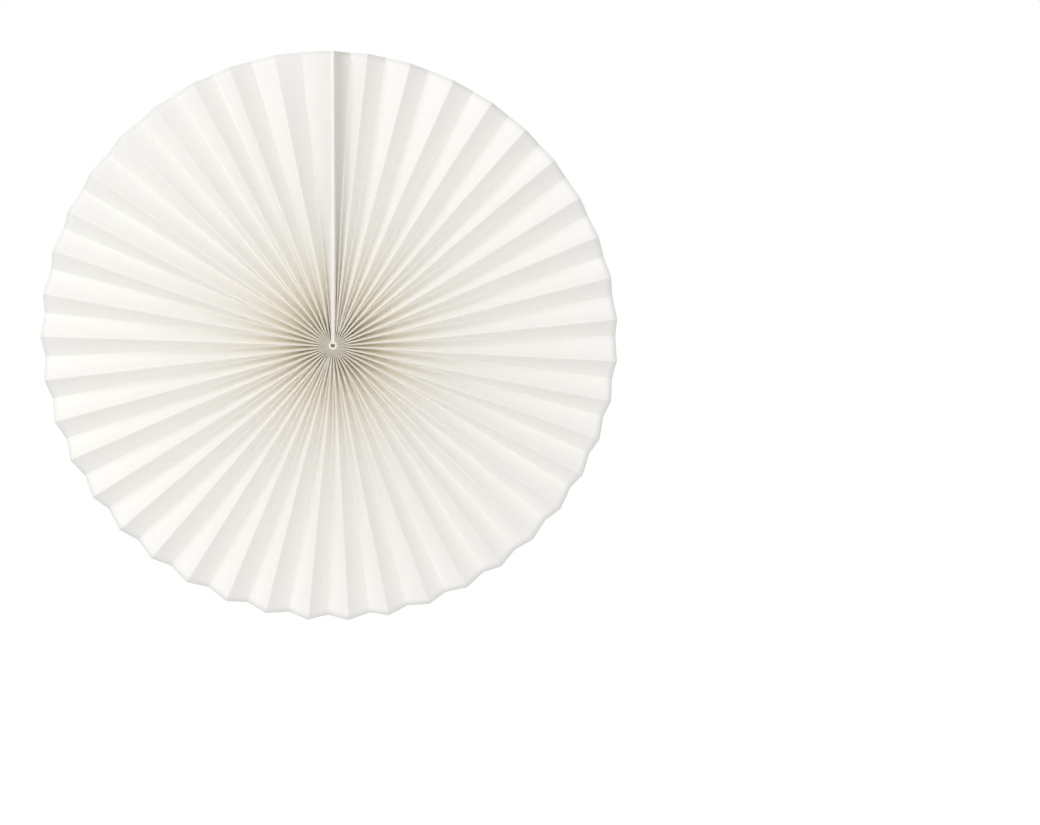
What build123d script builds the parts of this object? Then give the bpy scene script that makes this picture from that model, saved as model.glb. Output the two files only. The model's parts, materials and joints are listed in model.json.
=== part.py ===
"""Paper fan rosette: one pleated paper strip fanned into a full disc, its two end cards taped face to face at the top.

Millimetres. The disc stands upright as it hangs: X to the right, Z up along the seam, and -Y is the front.
The origin is the middle of the hub, half way through the depth.
"""

import math
import os

from build123d import *

# The pleated strip: free panels from card to card, each as wide as the strip is deep at the hub
disc_radius = 200.0
hub_radius = 2.5
panel_count = 85
panel_width = 20.0
paper_thickness = 0.13

# The two end cards, and the double-sided tape between them
card_thickness = 1.0
card_depth = 20.0
tape_thickness = 0.1
tape_width = 15.0
tape_end_margin = 3.0

# The ring of glue that holds the inner ends of the panels together, with a hole left through its middle
hub_bore = 3.0

# How many folds beside a card lean towards its edge before the pleats run level
settling_folds = 8

# Sizes that follow from the values above
card_inner_face = tape_thickness / 2
card_outer_face = card_inner_face + card_thickness
seam_half = card_outer_face + paper_thickness
rim_end = math.sqrt(disc_radius**2 - seam_half**2)


def fold_azimuth(fold, radius):
    """Degrees from the top to a fold, clockwise seen from the front. The seam takes the same width at any radius."""
    beside_seam = math.degrees(math.asin(seam_half / radius))
    return beside_seam + fold * (360 - 2 * beside_seam) / panel_count


def fold_chord(radius):
    """Straight distance from one fold to the next."""
    step = fold_azimuth(1, radius) - fold_azimuth(0, radius)
    return 2 * radius * math.sin(math.radians(step / 2))


def fold_depth(fold, radius):
    """Place of a fold along Y. A panel keeps its width, so the pleats get shallower as they open towards the rim.

    Even folds are at the front and odd ones at the back. The first fold lies along the front of the right card and
    the last along the back of the left one, and the next few lean that way.
    """
    level = math.sqrt(panel_width**2 - fold_chord(radius) ** 2) / 2
    lean = card_depth / 2 - level
    beside_right_card = max(0, 1 - fold / settling_folds)
    beside_left_card = max(0, 1 - (panel_count - fold) / settling_folds)
    side = -1 if fold % 2 == 0 else 1
    return side * level + lean * (beside_left_card - beside_right_card)


def fold_point(fold, radius):
    """Where a fold passes through the middle plane of the disc, seen from the front."""
    azimuth = math.radians(fold_azimuth(fold, radius))
    return Vector(radius * math.sin(azimuth), 0, radius * math.cos(azimuth))


# A fold is a narrow flat crease, half of it on each panel, so the packed panels just stand clear at the hub
crease_half_width = fold_chord(hub_radius) / 2


def panel_outline(chord, near_depth, far_depth):
    """Section of one panel from fold to fold: half a crease, the slanting paper, half a crease."""
    side = math.copysign(paper_thickness / 2, far_depth - near_depth)
    slope = math.atan2(abs(far_depth - near_depth), chord - 2 * crease_half_width)
    mitre = math.tan(slope / 2) * paper_thickness / 2
    return [
        (0, near_depth + side),
        (crease_half_width - mitre, near_depth + side),
        (chord - crease_half_width - mitre, far_depth + side),
        (chord, far_depth + side),
        (chord, far_depth - side),
        (chord - crease_half_width + mitre, far_depth - side),
        (crease_half_width + mitre, near_depth - side),
        (0, near_depth - side),
    ]


def make_panel(fold):
    """The free panel from a fold to the next. It twists from the upright hub section to the slanting rim section."""
    with BuildPart() as panel:
        for radius in (hub_radius, disc_radius):
            near, far = fold_point(fold, radius), fold_point(fold + 1, radius)
            along = far - near
            depths = fold_depth(fold, radius), fold_depth(fold + 1, radius)
            with BuildSketch(Plane(origin=near, x_dir=along, z_dir=along.cross(Vector(0, 1, 0)))):
                with BuildLine():
                    Polyline(*panel_outline(along.length, *depths), close=True)
                make_face()
        loft(ruled=True)
    return panel.part


panels = [make_panel(fold) for fold in range(panel_count)]

# The whole strip is one sheet: its free panels, and at each end a last panel glued to the outer face of a card.
# The right one hangs from the fold along the front of its card, the left one from the fold along the back.
seam_length = rim_end - hub_radius
seam_middle = hub_radius + seam_length / 2
glued_panel_x = (card_outer_face + seam_half) / 2
glued_panel_y = (panel_width - card_depth - paper_thickness) / 2
with BuildPart() as pleated_paper:
    add(panels)
    with Locations((glued_panel_x, glued_panel_y, seam_middle), (-glued_panel_x, -glued_panel_y, seam_middle)):
        Box(paper_thickness, panel_width, seam_length)
pleated_paper.part.label = "pleated_paper"

# The end cards stiffen the two ends of the strip and meet on the tape
with BuildPart() as end_card_right:
    with Locations(((card_inner_face + card_outer_face) / 2, 0, seam_middle)):
        Box(card_thickness, card_depth, seam_length)
end_card_right.part.label = "end_card_right"

with BuildPart() as end_card_left:
    mirror(end_card_right.part, about=Plane.YZ)
end_card_left.part.label = "end_card_left"

with BuildPart() as seam_tape:
    with Locations((0, 0, seam_middle)):
        Box(tape_thickness, tape_width, seam_length - 2 * tape_end_margin)
seam_tape.part.label = "seam_tape"

# The glue lines the hub from the front folds to the back ones, up to the flat inner ends of the panels
with BuildPart() as hub_glue:
    with BuildSketch(Plane.XZ):
        Circle(math.sqrt(hub_radius**2 - crease_half_width**2))
        Circle(hub_bore / 2, mode=Mode.SUBTRACT)
    extrude(amount=panel_width / 2, both=True)
hub_glue.part.label = "hub_glue"

os.makedirs("parts", exist_ok=True)
export_step(pleated_paper.part, "parts/pleated_paper.step")
export_step(end_card_right.part, "parts/end_card_right.step")
export_step(end_card_left.part, "parts/end_card_left.step")
export_step(seam_tape.part, "parts/seam_tape.step")
export_step(hub_glue.part, "parts/hub_glue.step")
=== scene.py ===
"""Paper fan rosette: a pleated paper disc with its two end cards, their tape, and the glue in the hub.

Metres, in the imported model's own frame: X to the right, Z up along the seam, and -Y is the front.
"""

import json
import math
import random

import bmesh
import bpy
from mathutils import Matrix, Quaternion, Vector

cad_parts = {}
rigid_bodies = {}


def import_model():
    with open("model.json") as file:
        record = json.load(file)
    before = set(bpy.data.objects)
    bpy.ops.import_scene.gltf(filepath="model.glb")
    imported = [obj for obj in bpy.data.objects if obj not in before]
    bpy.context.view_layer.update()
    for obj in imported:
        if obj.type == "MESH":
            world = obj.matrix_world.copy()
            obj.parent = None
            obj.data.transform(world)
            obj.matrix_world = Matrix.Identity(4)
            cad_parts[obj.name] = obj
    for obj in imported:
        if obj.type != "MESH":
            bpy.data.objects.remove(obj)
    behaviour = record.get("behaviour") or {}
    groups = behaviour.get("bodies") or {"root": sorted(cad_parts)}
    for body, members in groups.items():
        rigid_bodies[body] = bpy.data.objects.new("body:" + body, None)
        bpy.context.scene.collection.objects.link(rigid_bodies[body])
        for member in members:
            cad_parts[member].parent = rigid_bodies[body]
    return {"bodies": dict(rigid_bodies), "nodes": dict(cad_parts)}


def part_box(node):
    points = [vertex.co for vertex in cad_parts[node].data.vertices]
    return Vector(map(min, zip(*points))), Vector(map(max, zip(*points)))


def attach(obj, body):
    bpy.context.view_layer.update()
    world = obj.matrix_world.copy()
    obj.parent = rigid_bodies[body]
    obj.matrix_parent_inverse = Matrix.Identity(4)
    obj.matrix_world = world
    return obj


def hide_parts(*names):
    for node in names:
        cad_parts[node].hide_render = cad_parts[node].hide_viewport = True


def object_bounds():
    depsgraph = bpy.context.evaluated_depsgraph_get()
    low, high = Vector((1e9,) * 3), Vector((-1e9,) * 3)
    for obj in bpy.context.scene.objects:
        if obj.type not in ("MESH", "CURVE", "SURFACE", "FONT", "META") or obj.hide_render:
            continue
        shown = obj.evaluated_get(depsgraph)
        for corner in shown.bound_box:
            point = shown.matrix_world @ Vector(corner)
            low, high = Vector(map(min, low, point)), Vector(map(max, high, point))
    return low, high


bl_info = {
    "name": "Paper fan rosette",
    "version": (1, 0, 0),
    "blender": (4, 5, 0),
    "location": "3D View > Sidebar > Rosette",
    "description": "A pleated paper disc with its end cards, tape and glue, and a plain white studio",
    "category": "Object",
}

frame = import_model()
cad_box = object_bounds()

MM = 0.001
BODY = next(iter(frame["bodies"]))

card_low, card_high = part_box("end_card_right")
paper_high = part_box("pleated_paper")[1]
glue_low, glue_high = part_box("hub_glue")
tape_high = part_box("seam_tape")[1]

hub_radius = card_low.z
card_outer_face = card_high.x
paper_thickness = 2 * (paper_high.y - card_high.y)
panel_width = card_high.y - card_low.y
disc_radius = math.hypot(card_high.z, card_outer_face + paper_thickness)


class PaperSizes(bpy.types.PropertyGroup):
    """The folded strip: its pleats, and how unevenly hands have folded and spread them."""

    panel_count: bpy.props.IntProperty(
        name="Free panels",
        description="Panels between the two glued ones",
        default=85,
    )
    inner_radius: bpy.props.FloatProperty(
        name="Inner radius",
        description="How near to the middle the packed folds reach",
        default=hub_radius,
        unit="LENGTH",
    )
    settling_folds: bpy.props.IntProperty(
        name="Settling folds",
        description="Folds beside a card that lean towards its edge",
        default=8,
    )
    uneven_share: bpy.props.FloatProperty(
        name="Uneven folds",
        description="Spread of the panels' openings, as a share of one opening",
        default=0.045,
        subtype="FACTOR",
    )
    wander: bpy.props.FloatProperty(
        name="Fold wander",
        description="How far a fold strays sideways from a straight line",
        default=0.4 * MM,
        unit="LENGTH",
    )
    buckle: bpy.props.FloatProperty(
        name="Buckle",
        description="Height of the soft waves in a panel",
        default=0.45 * MM,
        unit="LENGTH",
    )
    fold_loop: bpy.props.FloatProperty(
        name="Fold loop",
        description="Half the width of the round nose that the paper keeps in a fold",
        default=0.45 * MM,
        unit="LENGTH",
    )
    closed_gap: bpy.props.FloatProperty(
        name="Closed gap",
        description="Gap between the glued panel at the left card and the free one that lies closed on it",
        default=0.18 * MM,
        unit="LENGTH",
    )
    rows: bpy.props.IntProperty(
        name="Rows",
        description="Divisions of the strip from the hub to the rim",
        default=50,
    )
    seed: bpy.props.IntProperty(
        name="Seed",
        description="Start of the random draws",
        default=4,
    )
    colour: bpy.props.FloatVectorProperty(
        name="Paper colour",
        description="Colour of the uncoated sheet",
        subtype="COLOR",
        default=(0.938, 0.928, 0.902),
    )
    # Painted light: the paper is drawn warmer and lighter towards the hub, in place of the light that
    # bounces between the packed pleats there
    painted_hub_bounce_colour: bpy.props.FloatVectorProperty(
        name="Hub colour",
        description="Warmer colour of the paper near the hub, where glue has soaked in",
        subtype="COLOR",
        default=(0.985, 0.942, 0.855),
    )
    painted_hub_bounce_fade: bpy.props.FloatProperty(
        name="Hub fade",
        description="Distance from the hub over which the warmer colour fades out",
        default=80 * MM,
        unit="LENGTH",
    )
    # Painted shade: the folds are drawn darker near the hub
    painted_fold_shade_share: bpy.props.FloatProperty(
        name="Soaked folds",
        description="How much darker the folds are near the hub, where glue has soaked into them",
        default=0.13,
        subtype="FACTOR",
    )
    through_share: bpy.props.FloatProperty(
        name="Light through",
        description="Share of the light that passes through the paper instead of turning back",
        default=0.36,
        subtype="FACTOR",
    )
    through_colour: bpy.props.FloatVectorProperty(
        name="Light through colour",
        description="Colour of the light that passes through the paper",
        subtype="COLOR",
        default=(0.97, 0.955, 0.92),
    )


class CardSizes(bpy.types.PropertyGroup):
    """The two stiff strips that the ends of the paper are glued to."""

    edge_round: bpy.props.FloatProperty(
        name="Edge round",
        description="Rounding of the cut edges",
        default=0.03 * MM,
        unit="LENGTH",
    )
    bend_margin: bpy.props.FloatProperty(
        name="Bend margin",
        description="Distance from the edge of the tape at which the boards start to close up",
        default=0.7 * MM,
        unit="LENGTH",
    )
    closed_gap: bpy.props.FloatProperty(
        name="Closed gap",
        description="Gap between the long edges of the two boards, where no tape keeps them apart",
        default=0.02 * MM,
        unit="LENGTH",
    )
    colour: bpy.props.FloatVectorProperty(
        name="Card colour",
        description="Colour of the board",
        subtype="COLOR",
        default=(0.995, 0.985, 0.945),
    )
    # Painted light: the board is drawn warmer towards the hub, in place of the light bounced between the
    # packed pleats there
    painted_hub_bounce_colour: bpy.props.FloatVectorProperty(
        name="Hub colour",
        description="Warmer colour of the board near the hub, where glue has soaked in",
        subtype="COLOR",
        default=(0.99, 0.93, 0.84),
    )
    painted_hub_bounce_fade: bpy.props.FloatProperty(
        name="Hub fade",
        description="Distance from the hub over which the warmer colour fades out",
        default=90 * MM,
        unit="LENGTH",
    )


class GlueSizes(bpy.types.PropertyGroup):
    """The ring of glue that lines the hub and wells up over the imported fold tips."""

    bore: bpy.props.FloatProperty(
        name="Bore",
        description="Width of the hole that stays open through the glue",
        default=3.0 * MM,
        unit="LENGTH",
    )
    lip_round: bpy.props.FloatProperty(
        name="Lip round",
        description="Radius of the round lip at either end of the hole",
        default=0.44 * MM,
        unit="LENGTH",
    )
    skirt_width: bpy.props.FloatProperty(
        name="Skirt width",
        description="How far from the middle the glue has filled the gaps between the fold tips",
        default=8.4 * MM,
        unit="LENGTH",
    )
    skirt_depth: bpy.props.FloatProperty(
        name="Skirt depth",
        description="How far below the fold tips the outer edge of the glue lies",
        default=2.4 * MM,
        unit="LENGTH",
    )
    uneven_share: bpy.props.FloatProperty(
        name="Uneven edge",
        description="How much the reach of the glue varies round the hub, as a share of it",
        default=0.24,
        subtype="FACTOR",
    )
    lip_colour: bpy.props.FloatVectorProperty(
        name="Lip colour",
        description="Colour of the glue at the lip, where it lies thick",
        subtype="COLOR",
        default=(0.93, 0.89, 0.81),
    )
    lip_fade: bpy.props.FloatProperty(
        name="Lip fade",
        description="Distance from the lip over which its colour fades out",
        default=1.2 * MM,
        unit="LENGTH",
    )
    # Partly the tan of the thin glue, partly painted shade of the deep gaps between the packed fold tips
    # below it
    skirt_glue_and_shade_colour: bpy.props.FloatVectorProperty(
        name="Skirt colour",
        description="Colour of the thin glue between the fold tips",
        subtype="COLOR",
        default=(0.46, 0.415, 0.34),
    )


class StudioSizes(bpy.types.PropertyGroup):
    """Light, floor and camera."""

    camera_place: bpy.props.FloatVectorProperty(
        name="Camera",
        description="Where the camera stands",
        subtype="TRANSLATION",
        default=(0.043, -1.119, 0.154),
    )
    camera_aim: bpy.props.FloatVectorProperty(
        name="Aim",
        description="Point in the middle of the picture",
        subtype="TRANSLATION",
        default=(0.132, 0.0, -0.0486),
    )
    camera_roll: bpy.props.FloatProperty(
        name="Roll",
        description="Turn of the camera about its own axis",
        subtype="ANGLE",
        default=math.radians(1.0),
    )
    lens: bpy.props.FloatProperty(
        name="Lens",
        description="Focal length in millimetres",
        default=55.4,
    )
    lamp_place: bpy.props.FloatVectorProperty(
        name="Lamp",
        description="Where the large soft lamp stands",
        subtype="TRANSLATION",
        default=(-0.95, -1.25, 0.95),
    )
    lamp_size: bpy.props.FloatProperty(
        name="Lamp size",
        description="Side of the square lamp",
        default=0.9,
        unit="LENGTH",
    )
    lamp_power: bpy.props.FloatProperty(
        name="Lamp power",
        description="Power of the lamp",
        default=11.9,
        unit="POWER",
    )
    sky_strength: bpy.props.FloatProperty(
        name="Surround",
        description="Strength of the white light from all round",
        default=0.695,
    )
    bounces: bpy.props.IntProperty(
        name="Bounces",
        description="How often light may be scattered on in the narrow pleats",
        default=12,
    )
    floor_drop: bpy.props.FloatProperty(
        name="Floor drop",
        description="Height of the hanging disc's lowest point above the floor",
        default=0.25,
        unit="LENGTH",
    )
    floor_width: bpy.props.FloatProperty(
        name="Floor width",
        description="Side of the square floor",
        default=8.0,
        unit="LENGTH",
    )
    floor_colour: bpy.props.FloatVectorProperty(
        name="Floor colour",
        description="Colour of the matt floor",
        subtype="COLOR",
        default=(0.8, 0.8, 0.8),
    )
    floor_glow: bpy.props.FloatProperty(
        name="Floor glow",
        description="How much lighter the floor shows than the light on it makes it",
        default=0.45,
    )


class Number:
    """A number socket in a node tree. Python's operators on it add Math nodes."""

    def __init__(self, nodes, socket):
        self.nodes = nodes
        self.socket = socket

    def __add__(self, other):
        return self.nodes.math("ADD", self, other)

    def __radd__(self, other):
        return self.nodes.math("ADD", other, self)

    def __sub__(self, other):
        return self.nodes.math("SUBTRACT", self, other)

    def __rsub__(self, other):
        return self.nodes.math("SUBTRACT", other, self)

    def __mul__(self, other):
        return self.nodes.math("MULTIPLY", self, other)

    def __rmul__(self, other):
        return self.nodes.math("MULTIPLY", other, self)


class Nodes:
    """The nodes of a material or of the world, in the making."""

    def __init__(self, owner, output):
        owner.use_nodes = True
        self.tree = owner.node_tree
        self.tree.nodes.clear()
        self.output = self.node(output)

    def put(self, socket, value):
        """Links a socket or a Number to a node's input, or sets it to a plain value."""
        if isinstance(value, Number):
            value = value.socket
        if isinstance(value, bpy.types.NodeSocket):
            self.tree.links.new(value, socket)
        elif socket.type == "RGBA":
            socket.default_value = (*value, 1)
        else:
            socket.default_value = value

    def node(self, kind, settings=None, inputs=None):
        """Adds a node: its settings first, then the values or links of its inputs."""
        made = self.tree.nodes.new("ShaderNode" + kind)
        for key, value in (settings or {}).items():
            setattr(made, key, value)
        for key, value in (inputs or {}).items():
            self.put(made.inputs[key], value)
        return made

    def show(self, shader):
        """Puts a shader node on the surface, in place of what was there."""
        self.put(self.output.inputs["Surface"], shader.outputs[0])

    def mix_shaders(self, share, shader, other):
        """shader where share is 0, other where it is 1."""
        return self.node("MixShader", None, {0: share, 1: shader.outputs[0], 2: other.outputs[0]})

    def math(self, operation, *values):
        """The result of a Math node."""
        made = self.node("Math", {"operation": operation}, dict(enumerate(values)))
        return Number(self, made.outputs[0])

    def seen_directly(self):
        """1 for rays that show the surround itself, and 0 for rays that light with it."""
        path = self.node("LightPath")
        shown = path.outputs["Is Camera Ray"]
        for other in ("Is Glossy Ray", "Is Transmission Ray"):
            shown = self.math("MAXIMUM", shown, path.outputs[other])
        return shown

    def axes(self, place):
        """The three coordinates of a place."""
        made = self.node("SeparateXYZ", None, {0: place})
        return [Number(self, socket) for socket in made.outputs]

    def stretch(self, place, scale):
        """The place with each axis scaled by itself."""
        made = self.node("Mapping", None, {"Vector": place, "Scale": scale})
        return made.outputs[0]

    def fade(self, value, start, end):
        """1 where value is at start, 0 where it is at end, and smooth in between."""
        limits = {"Value": value, "From Min": start, "From Max": end, "To Min": 1, "To Max": 0}
        made = self.node("MapRange", {"interpolation_type": "SMOOTHSTEP"}, limits)
        return Number(self, made.outputs["Result"])

    def noise(self, place, scale, detail=2, roughness=0.5):
        """Smooth noise about 0.5. scale is in waves a metre."""
        inputs = {"Vector": place, "Scale": scale, "Detail": detail, "Roughness": roughness}
        made = self.node("TexNoise", None, inputs)
        return Number(self, made.outputs["Fac"])

    def blend(self, share, colour, other):
        """colour where share is 0, other where it is 1."""
        # A Mix node has sockets for each kind of value: 6 and 7 take two colours, and 2 gives their mix
        made = self.node("Mix", {"data_type": "RGBA"}, {0: share, 6: colour, 7: other})
        return made.outputs[2]

    def shade(self, colour, share):
        """The colour made lighter or darker by a share, which may be a Number."""
        made = self.node("VectorMath", {"operation": "SCALE"}, {0: colour, "Scale": share})
        return made.outputs[0]

    def bump(self, height, distance, before=None):
        """A normal from a height, where a height of 1 stands that distance proud."""
        inputs = {"Height": height, "Distance": distance}
        if before is not None:
            inputs["Normal"] = before
        return self.node("Bump", None, inputs).outputs["Normal"]


class Finish(Nodes):
    """A material in the making, around one Principled shader."""

    def __init__(self, name, constants):
        self.material = bpy.data.materials.new(name)
        super().__init__(self.material, "OutputMaterial")
        self.shader = self.node("BsdfPrincipled", None, constants)
        self.show(self.shader)

    def surface(self, values):
        """Links or sets sockets of the shader."""
        for key, value in values.items():
            self.put(self.shader.inputs[key], value)

    def let_light_through(self, share, colour):
        """Lets a share of the light pass a thin closed sheet: scattered going in, and free going out."""
        through = self.node("BsdfTranslucent", None, {"Color": colour})
        way_in = self.mix_shaders(share, self.shader, through)
        way_out = self.node("BsdfTransparent")
        inside = self.node("NewGeometry").outputs["Backfacing"]
        self.show(self.mix_shaders(inside, way_in, way_out))


def paper_finish(sizes):
    """Uncoated white paper: faint clouds of fibre, a fine tooth, pale broken fibres with a painted highlight
    along the folds, painted shade along the folds near the hub, and painted warm bounce light towards the
    hub.
    """
    darkest_share, cloud_share, fibres_and_highlight_share = 0.985, 0.025, 0.01
    smoothest, rough_share = 0.84, 0.1
    fibre_share, grain_height, cloud_height = 0.6, 0.012 * MM, 0.03 * MM

    made = Finish("uncoated_paper", {"Specular IOR Level": 0.3})
    flat = made.node("UVMap", {"uv_map": "flat_sheet"}).outputs[0]
    along, from_hub, _ = made.axes(flat)
    from_fold = made.math("PINGPONG", along, panel_width / 2)
    # Pale broken fibres and a painted highlight along each fold
    fibres_and_painted_highlight = made.fade(from_fold, 0.1 * MM, 0.5 * MM)
    # Where painted shade lies along the folds: 1 within 0.3 mm of a fold and 0 beyond 1.6 mm
    painted_fold_shade_mask = made.fade(from_fold, 0.3 * MM, 1.6 * MM)
    # Where the folds get painted shade: 1 within 10 mm of the hub and 0 beyond 60 mm
    soaked = made.fade(from_hub, 10 * MM, 60 * MM)
    # Painted light: 1 at the hub and 0 at the fade distance, where the warm bounce tint is painted on
    painted_hub_bounce = made.fade(from_hub, 0, sizes.painted_hub_bounce_fade)
    clouds = made.noise(flat, 70, detail=4, roughness=0.6)
    fibres = made.noise(made.stretch(flat, (1, 0.25, 1)), 1900, detail=3, roughness=0.6)
    tooth = made.noise(flat, 900)
    # The paper's colour with painted warm bounce light towards the hub
    colour = made.blend(painted_hub_bounce, sizes.colour, sizes.painted_hub_bounce_colour)
    # Fibre clouds, and painted shade along the folds near the hub
    clouds_and_painted_light = made.shade(colour, darkest_share + clouds * cloud_share - painted_fold_shade_mask * soaked * sizes.painted_fold_shade_share)
    grain = made.bump(fibres * fibre_share + tooth * (1 - fibre_share), grain_height)
    made.surface({
        # Lighter along the folds: broken fibres and a painted highlight
        "Base Color": made.shade(clouds_and_painted_light, 1 + fibres_and_painted_highlight * fibres_and_highlight_share),
        "Roughness": smoothest + clouds * rough_share,
        "Normal": made.bump(clouds, cloud_height, grain),
    })
    made.let_light_through(sizes.through_share, sizes.through_colour)
    return made.material


def card_finish(sizes):
    """Pressed board: flat faces with a slight fleck, fine layers that show along the cut edges, and painted
    warm bounce light towards the hub.
    """
    darkest_share, fleck_share = 0.98, 0.03
    layer_share, layer_height = 0.7, 0.02 * MM

    made = Finish("white_board", {"Roughness": 0.8, "Specular IOR Level": 0.3})
    place = made.node("TexCoord").outputs["Object"]
    _, _, up = made.axes(place)
    layers = made.noise(made.stretch(place, (9000, 150, 60)), 1)
    fleck = made.noise(place, 600, detail=3)
    # Painted light: the board's colour warms towards the hub, standing in for bounced light
    colour = made.blend(made.fade(up, 0, sizes.painted_hub_bounce_fade), sizes.colour, sizes.painted_hub_bounce_colour)
    made.surface({
        "Base Color": made.shade(colour, darkest_share + fleck * fleck_share),
        "Normal": made.bump(layers * layer_share + fleck * (1 - layer_share), layer_height),
    })
    return made.material


def tape_finish():
    """Thin film tape with its adhesive, slightly milky."""
    clear_colour, milky_colour = (0.9, 0.9, 0.86), (0.94, 0.94, 0.91)

    made = Finish("adhesive_tape", {"Roughness": 0.35, "Coat Weight": 0.2})
    milk = made.noise(made.node("TexCoord").outputs["Object"], 250, detail=3)
    made.surface({
        "Base Color": made.blend(milk, clear_colour, milky_colour),
        "Normal": made.bump(milk, 0.02 * MM),
    })
    return made.material


def glue_finish(sizes):
    """Dried craft glue: satin, creamy where it lies thick at the lip, and tan and darker on the skirt,
    partly the thin glue's own colour and partly painted shade of the gaps below it.
    """
    darkest_share, cloud_share, cloud_height = 0.95, 0.08, 0.08 * MM

    made = Finish("dried_glue", {"Roughness": 0.45, "Specular IOR Level": 0.4})
    place = made.node("TexCoord").outputs["Object"]
    across, _, up = made.axes(place)
    radius = made.math("SQRT", across * across + up * up)
    lip_edge = sizes.bore / 2 + 2 * sizes.lip_round
    thick = made.fade(radius, lip_edge, lip_edge + sizes.lip_fade)
    cloud = made.noise(place, 900)
    # The skirt's colour is partly glue and partly painted shade of the gaps between the fold tips
    colour = made.blend(thick, sizes.skirt_glue_and_shade_colour, sizes.lip_colour)
    made.surface({
        "Base Color": made.shade(colour, darkest_share + cloud * cloud_share),
        "Normal": made.bump(cloud, cloud_height),
    })
    return made.material


def mesh_object(name, shape, material):
    """Makes an object of a bmesh."""
    mesh = bpy.data.meshes.new(name)
    shape.to_mesh(mesh)
    shape.free()
    mesh.materials.append(material)
    made = bpy.data.objects.new(name, mesh)
    bpy.context.scene.collection.objects.link(made)
    return made


def new_piece(name, shape, material, node):
    """Makes a piece of a bmesh, rides it on the body and hides the imported node it stands for."""
    for face in shape.faces:
        face.smooth = True
    piece = mesh_object(name, shape, material)
    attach(piece, BODY)
    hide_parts(node)
    return piece


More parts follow.
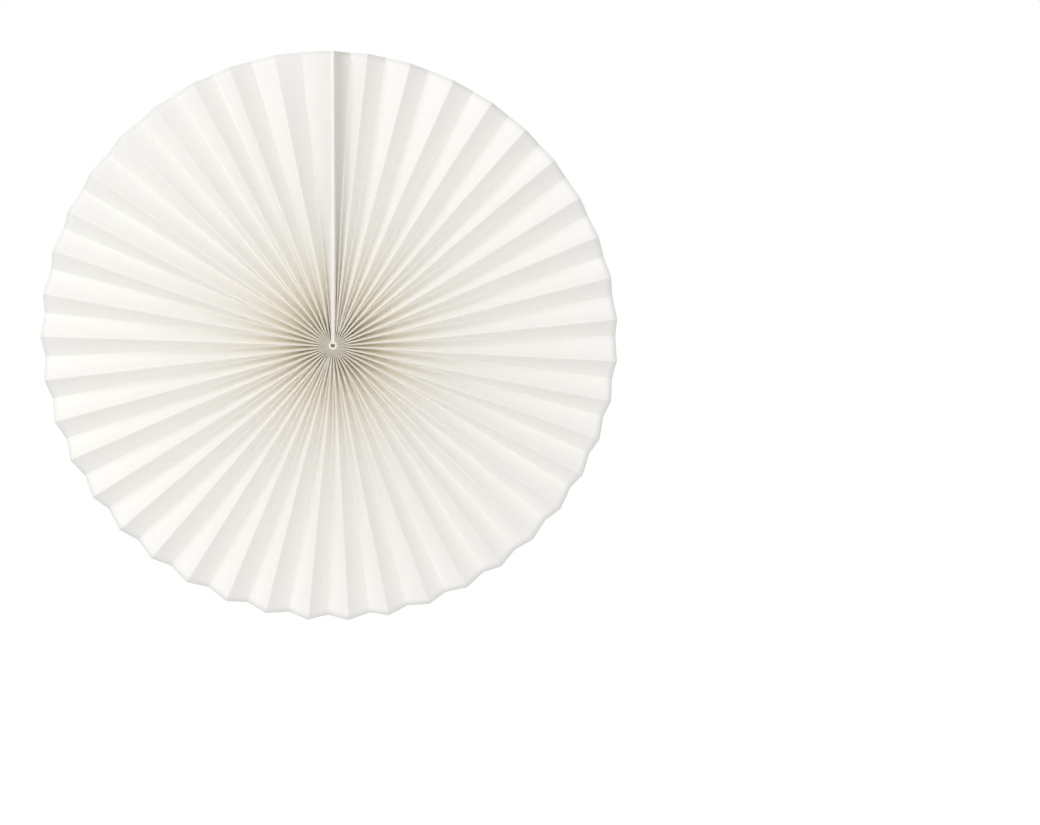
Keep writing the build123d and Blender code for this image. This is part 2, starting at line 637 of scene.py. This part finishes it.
class FoldedStrip:
    """Where each point of the flat strip lies once it is pleated and fanned round."""

    # How far the panels beside each card open, from the card outwards, as shares of an even opening.
    # The first one at the left card is the free panel that lies closed along it.
    right_opening_shares = (0.75, 0.76, 0.8, 1.18, 0.95, 1.18)
    left_opening_shares = (0.05, 1.28, 1.2, 1.18, 0.93)
    # Share of the way to the rim over which the folds spread from their even spacing at the hub
    spreading_share = 0.1
    # How far a fold sways to and fro, as a share of its bow, and how far it turns aside at the rim
    sway_share = 0.5
    flare_share = 0.8
    # Soft waves in each panel, and between which numbers of them fit from the hub to the rim
    waves_a_panel = 3
    fewest_waves = 1.2
    most_waves = 3.6
    # Share of the way to the rim over which the waves grow to their full height
    calm_share = 1 / 3
    # Places of the vertex columns across a panel, as shares of its width, close together at the two folds
    across_shares = (0, 0.005, 0.022, 0.09, 0.33, 0.67, 0.91, 0.978, 0.995)
    # How far each column, counted from a fold, stands out sideways, as shares of the fold's loop
    loop_shares = (0, 0.65, 1, 0.85, 0.3)
    # The loop takes at most this share of the room from one front fold to the next
    room_share = 0.23
    # How much tighter it gets towards the rim, where the folds stand open
    tighter_share = 0.6
    # A fold at a card has its whole loop on the free panel's side
    card_loop_share = 2
    # The front fold that lies closed on the left card has a narrower loop
    last_loop_share = 0.4

    def __init__(self, sizes):
        self.sizes = sizes
        self.count = sizes.panel_count
        self.seam_x = card_outer_face + paper_thickness / 2
        draw = random.Random(sizes.seed)
        openings = [1 + draw.gauss(0, sizes.uneven_share) for _ in range(self.count)]
        for k, share in enumerate(self.right_opening_shares):
            openings[k] = share
        for k, share in enumerate(self.left_opening_shares):
            openings[-1 - k] = share
        total = sum(openings)
        self.turns = [0.0]
        for opening in openings:
            self.turns.append(self.turns[-1] + opening / total)
        self.strays = [(draw.gauss(0, 1), draw.gauss(0, 1)) for _ in range(self.count + 1)]
        self.waves = [[self.draw_wave(draw) for _ in range(self.waves_a_panel)] for _ in range(self.count)]

    def draw_wave(self, draw):
        """A soft wave: how many fit from the hub to the rim, where it starts, and its height."""
        number = draw.uniform(self.fewest_waves, self.most_waves)
        start = draw.uniform(0, math.tau)
        return number, start, draw.gauss(0, 1)

    def azimuth(self, fold, radius):
        """Angle from the top to a fold, clockwise seen from the front."""
        beside_seam = math.asin(min(1.0, self.seam_x / radius))
        fan = math.tau - 2 * beside_seam
        if fold == self.count - 1:
            return math.tau - beside_seam - min(self.sizes.closed_gap / radius, fan / self.count)
        share = (radius - hub_radius) / (disc_radius - hub_radius)
        even = fold / self.count
        turn = even + (self.turns[fold] - even) * min(1, share / self.spreading_share)
        straight = beside_seam + turn * fan
        if fold in (0, self.count) or share <= 0:
            return straight
        bow, sway = self.strays[fold]
        stray = bow * math.sin(math.pi * share) + sway * math.sin(math.tau * share) * self.sway_share
        flare = (bow - sway) * share**4 * self.flare_share
        return straight + self.sizes.wander * (stray + flare) / radius

    def folds_at(self, radius):
        """The places of all folds at one radius, with the loose edge of a glued panel at either end."""
        angles = [self.azimuth(fold, radius) for fold in range(self.count + 1)]
        depths = []
        for near, far in zip(angles, angles[1:]):
            chord = 2 * radius * math.sin((far - near) / 2)
            depths.append(math.sqrt(max(panel_width**2 - chord**2, 0)))
        # How far a fold stands from the middle plane: half the mean depth of its two panels, or at a card
        # half the depth of its one open panel
        half = panel_width / 2
        levels = [depths[0] / 2]
        levels += [(before + after) / 4 for before, after in zip(depths, depths[1:])]
        levels[-1] = depths[-2] / 2
        levels.append(half)
        places = []
        for fold, (angle, level) in enumerate(zip(angles, levels)):
            side = -1 if fold % 2 == 0 else 1
            from_left = self.count - 1 - fold
            lean_right = (half - levels[0]) * max(0, 1 - fold / self.sizes.settling_folds)
            lean_left = (half - levels[-2]) * max(0, 1 - from_left / self.sizes.settling_folds)
            depth = max(side * level - lean_right - lean_left, -half)
            if fold == self.count:
                depth = half
            places.append(Vector((radius * math.sin(angle), depth, radius * math.cos(angle))))
        seam_top = math.sqrt(max(radius**2 - self.seam_x**2, 0))
        back_edge = Vector((self.seam_x, half, seam_top))
        front_edge = Vector((-self.seam_x, -half, seam_top))
        return [back_edge, *places, front_edge]

    def wave(self, panel, share):
        """Height of the soft waves along a free panel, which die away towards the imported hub."""
        if panel == self.count - 1:
            return 0
        total = 0
        for number, start, height in self.waves[panel]:
            total += height * math.sin(math.tau * number * share + start) / number
        return self.sizes.buckle * total * min(1, share / self.calm_share) ** 2

    def point(self, places, panel, column, share):
        """One vertex: panel counts from the glued panel at the right card, column from its first fold."""
        near, far = places[panel], places[panel + 1]
        across = self.across_shares[column]
        spot = near.lerp(far, across)
        if not 0 < panel <= self.count:
            return spot
        around = Vector((far.x - near.x, 0, far.z - near.z))
        loop = self.sizes.fold_loop * (1 - self.tighter_share * share)
        loop = min(loop, self.room_share * 2 * around.length)
        around.normalize()
        back = len(self.across_shares) - column
        if column < len(self.loop_shares):
            near_loop = loop * (self.card_loop_share if panel == 1 else 1)
            spot += around * near_loop * self.loop_shares[column]
        if back < len(self.loop_shares):
            far_shares = {self.count: self.card_loop_share, self.count - 1: self.last_loop_share}
            far_loop = loop * far_shares.get(panel, 1)
            spot -= around * far_loop * self.loop_shares[back]
        normal = (far - near).cross(Vector((spot.x, 0, spot.z))).normalized()
        return spot + normal * self.wave(panel - 1, share) * math.sin(math.pi * across)


class ROSETTE_OT_pleated_paper(bpy.types.Operator):
    """Fold the flat strip into pleats and fan it round into a disc"""

    bl_idname = "rosette.pleated_paper"
    bl_label = "Pleated paper"

    # The rows lie closer together towards the hub, by this power
    crowding = 1.25

    def execute(self, context):
        sizes = context.scene.rosette_paper
        strip = FoldedStrip(sizes)
        columns = len(strip.across_shares)
        panels = sizes.panel_count + 2
        rows = sizes.rows
        width = disc_radius - sizes.inner_radius
        shares = [(row / rows) ** self.crowding for row in range(rows + 1)]
        folds = [strip.folds_at(sizes.inner_radius + width * share) for share in shares]
        # A grid that is 1 wide and 1 high, whose vertices then move to their places on the pleats
        shape = bmesh.new()
        flat = shape.loops.layers.uv.new("flat_sheet")
        bmesh.ops.create_grid(
            shape,
            x_segments=panels * columns,
            y_segments=rows,
            size=0.5,
            calc_uvs=False,
        )
        sheet_place = {}
        for vertex in shape.verts:
            panel, column = divmod(round((vertex.co.x + 0.5) * panels * columns), columns)
            row = round((vertex.co.y + 0.5) * rows)
            if panel == panels:
                vertex.co = folds[row][panel]
            else:
                vertex.co = strip.point(folds[row], panel, column, shares[row])
            along = (panel + strip.across_shares[column]) * panel_width
            sheet_place[vertex] = (along, width * shares[row])
        for face in shape.faces:
            for loop in face.loops:
                loop[flat].uv = sheet_place[loop.vert]
        piece = new_piece("folded_strip", shape, paper_finish(sizes), "pleated_paper")
        body = piece.modifiers.new("paper thickness", "SOLIDIFY")
        body.thickness = paper_thickness
        body.offset = 0
        return {"FINISHED"}


class ROSETTE_OT_end_cards(bpy.types.Operator):
    """Cut the two card strips that the ends of the paper are glued to"""

    bl_idname = "rosette.end_cards"
    bl_label = "End cards"

    # Edges that turn by more than this are rounded, and not the slight bends beside the tape
    sharp_turn = math.radians(30)

    def execute(self, context):
        sizes = context.scene.rosette_card
        material = card_finish(sizes)
        for name in ("end_card_right", "end_card_left"):
            low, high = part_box(name)
            shape = bmesh.new()
            bmesh.ops.create_cube(shape, size=1)
            bmesh.ops.scale(shape, vec=high - low, verts=shape.verts)
            bmesh.ops.translate(shape, vec=(low + high) / 2, verts=shape.verts)
            self.close_up(shape, sizes)
            bmesh.ops.bevel(
                shape,
                geom=[edge for edge in shape.edges if edge.calc_face_angle(0) > self.sharp_turn],
                offset=sizes.edge_round,
                segments=3,
                profile=0.5,
                affect="EDGES",
                material=-1,
            )
            new_piece(name.replace("end_card", "board"), shape, material, name)
        return {"FINISHED"}

    def close_up(self, shape, sizes):
        """Bends the long edges of a board towards the other board beyond the tape."""
        bend = tape_high.y + sizes.bend_margin
        for side in (-1, 1):
            bmesh.ops.bisect_plane(
                shape,
                geom=shape.verts[:] + shape.edges[:] + shape.faces[:],
                plane_co=(0, side * bend, 0),
                plane_no=(0, 1, 0),
            )
        past_bend = (bend + card_high.y) / 2
        for vertex in shape.verts:
            if abs(vertex.co.y) > past_bend and abs(vertex.co.x) < card_outer_face / 2:
                vertex.co.x = math.copysign(sizes.closed_gap / 2, vertex.co.x)


class ROSETTE_OT_seam_tape(bpy.types.Operator):
    """Finish the double-sided tape between the end cards"""

    bl_idname = "rosette.seam_tape"
    bl_label = "Seam tape"

    def execute(self, context):
        tape = frame["nodes"]["seam_tape"]
        tape.data.materials.clear()
        tape.data.materials.append(tape_finish())
        return {"FINISHED"}


class ROSETTE_OT_hub_glue(bpy.types.Operator):
    """Spin the ring of glue round the hub hole and spread its skirt between the fold tips"""

    bl_idname = "rosette.hub_glue"
    bl_label = "Hub glue"

    # The lip from inside the hole outwards: distance from the hole's wall and depth below the fold tips,
    # both as shares of the lip's radius
    lip_shares = ((0, 6), (0, 1), (0.13, 0.4), (0.5, -0.05), (1, -0.22), (1.5, -0.1))
    # The skirt from the lip outwards and back in below: distance from the crest of the lip as a share of the
    # skirt's reach, and depth below the fold tips as a share of its own
    skirt_shares = ((0.2, 0.02), (0.45, 0.12), (0.7, 0.35), (0.9, 0.7), (1, 1), (0.85, 1.25))
    # Where the underside of the skirt meets the wall of the hub
    root_share = 1.6
    # Waves of the skirt's uneven edge: how many go round, their height as a share, and where they start
    edge_waves = ((1, 1, math.radians(-45)), (3, 0.4, 0), (7, 0.3, 1))
    divisions = 96
    weld_distance = 0.001 * MM

    def execute(self, context):
        sizes = context.scene.rosette_glue
        crest = sizes.bore / 2 + sizes.lip_round
        reach = sizes.skirt_width - crest
        shape = bmesh.new()
        corners = [shape.verts.new(point) for point in self.section(sizes, crest, reach)]
        edges = [shape.edges.new(pair) for pair in zip(corners, corners[1:] + corners[:1])]
        bmesh.ops.spin(
            shape,
            geom=corners + edges,
            cent=(0, 0, 0),
            axis=(0, 1, 0),
            angle=math.tau,
            steps=self.divisions,
            use_merge=True,
        )
        bmesh.ops.remove_doubles(shape, verts=shape.verts, dist=self.weld_distance)
        for vertex in shape.verts:
            spread = max(0, (math.hypot(vertex.co.x, vertex.co.z) - crest) / reach)
            turn = math.atan2(vertex.co.x, vertex.co.z)
            uneven = sum(height * math.sin(count * turn + start) for count, height, start in self.edge_waves)
            stretch = 1 + sizes.uneven_share * spread * uneven
            vertex.co.x *= stretch
            vertex.co.z *= stretch
        bmesh.ops.recalc_face_normals(shape, faces=shape.faces)
        new_piece("glue_ring", shape, glue_finish(sizes), "hub_glue")
        return {"FINISHED"}

    def section(self, sizes, crest, reach):
        """Outline of the ring on one side of its axis: the front half and its mirror image at the back."""
        front = glue_low.y
        bore, lip, drop = sizes.bore / 2, sizes.lip_round, sizes.skirt_depth
        half = [(bore + out * lip, front + depth * lip, 0) for out, depth in self.lip_shares]
        half += [(crest + out * reach, front + depth * drop, 0) for out, depth in self.skirt_shares]
        half.append((glue_high.x, front + self.root_share * drop, 0))
        return half + [(x, -y, z) for x, y, z in reversed(half)]


class ROSETTE_OT_studio(bpy.types.Operator):
    """Set up the white surround, the floor, the soft lamp and the camera"""

    bl_idname = "rosette.studio"
    bl_label = "Studio"

    def execute(self, context):
        sizes = context.scene.rosette_studio
        self.make_surround(context.scene, sizes)
        self.make_floor(sizes)
        self.make_lamp(context.scene, sizes)
        self.make_camera(context.scene, sizes)
        context.scene.view_settings.view_transform = "Standard"
        context.scene.cycles.diffuse_bounces = sizes.bounces
        return {"FINISHED"}

    def make_surround(self, scene, sizes):
        scene.world = bpy.data.worlds.new("white_surround")
        made = Nodes(scene.world, "OutputWorld")
        white = (1, 1, 1)
        lighting = made.node("Background", None, {"Color": white, "Strength": sizes.sky_strength})
        shown = made.node("Background", None, {"Color": white, "Strength": 1})
        made.show(made.mix_shaders(made.seen_directly(), lighting, shown))

    def make_floor(self, sizes):
        shape = bmesh.new()
        bmesh.ops.create_grid(shape, x_segments=1, y_segments=1, size=sizes.floor_width / 2)
        height = cad_box[0].z - sizes.floor_drop
        bmesh.ops.translate(shape, vec=(0, 0, height), verts=shape.verts)
        made = Finish("white_floor", {"Base Color": sizes.floor_colour, "Roughness": 0.9})
        glow = made.node("Emission", None, {"Color": (1, 1, 1), "Strength": sizes.floor_glow})
        shown = made.node("AddShader", None, {0: made.shader.outputs[0], 1: glow.outputs[0]})
        made.show(made.mix_shaders(made.seen_directly(), made.shader, shown))
        mesh_object("floor", shape, made.material)

    def make_lamp(self, scene, sizes):
        light = bpy.data.lights.new("soft_lamp", "AREA")
        light.size = sizes.lamp_size
        light.energy = sizes.lamp_power
        lamp = bpy.data.objects.new("soft_lamp", light)
        lamp.location = sizes.lamp_place
        lamp.rotation_euler = (-Vector(sizes.lamp_place)).to_track_quat("-Z", "Y").to_euler()
        scene.collection.objects.link(lamp)

    def make_camera(self, scene, sizes):
        data = bpy.data.cameras.new("camera")
        data.lens = sizes.lens
        camera = bpy.data.objects.new("camera", data)
        camera.location = sizes.camera_place
        aim = Vector(sizes.camera_aim) - Vector(sizes.camera_place)
        roll = Quaternion((0, 0, 1), sizes.camera_roll)
        camera.rotation_euler = (aim.to_track_quat("-Z", "Y") @ roll).to_euler()
        scene.collection.objects.link(camera)
        scene.camera = camera


class ROSETTE_PT_sidebar(bpy.types.Panel):
    """Lists the steps that make the rosette"""

    bl_label = "Paper fan rosette"
    bl_space_type = "VIEW_3D"
    bl_region_type = "UI"
    bl_category = "Rosette"

    def draw(self, context):
        for step in steps:
            self.layout.operator(step.bl_idname)


groups = {
    "rosette_paper": PaperSizes,
    "rosette_card": CardSizes,
    "rosette_glue": GlueSizes,
    "rosette_studio": StudioSizes,
}
steps = (
    ROSETTE_OT_pleated_paper,
    ROSETTE_OT_end_cards,
    ROSETTE_OT_seam_tape,
    ROSETTE_OT_hub_glue,
    ROSETTE_OT_studio,
)


def register():
    for name, group in groups.items():
        bpy.utils.register_class(group)
        setattr(bpy.types.Scene, name, bpy.props.PointerProperty(type=group))
    for step in steps:
        bpy.utils.register_class(step)
    bpy.utils.register_class(ROSETTE_PT_sidebar)


def unregister():
    bpy.utils.unregister_class(ROSETTE_PT_sidebar)
    for step in reversed(steps):
        bpy.utils.unregister_class(step)
    for name, group in reversed(groups.items()):
        delattr(bpy.types.Scene, name)
        bpy.utils.unregister_class(group)


def main():
    register()
    bpy.ops.rosette.pleated_paper()
    bpy.ops.rosette.end_cards()
    bpy.ops.rosette.seam_tape()
    bpy.ops.rosette.hub_glue()
    bpy.ops.rosette.studio()


if __name__ == "__main__":
    main()
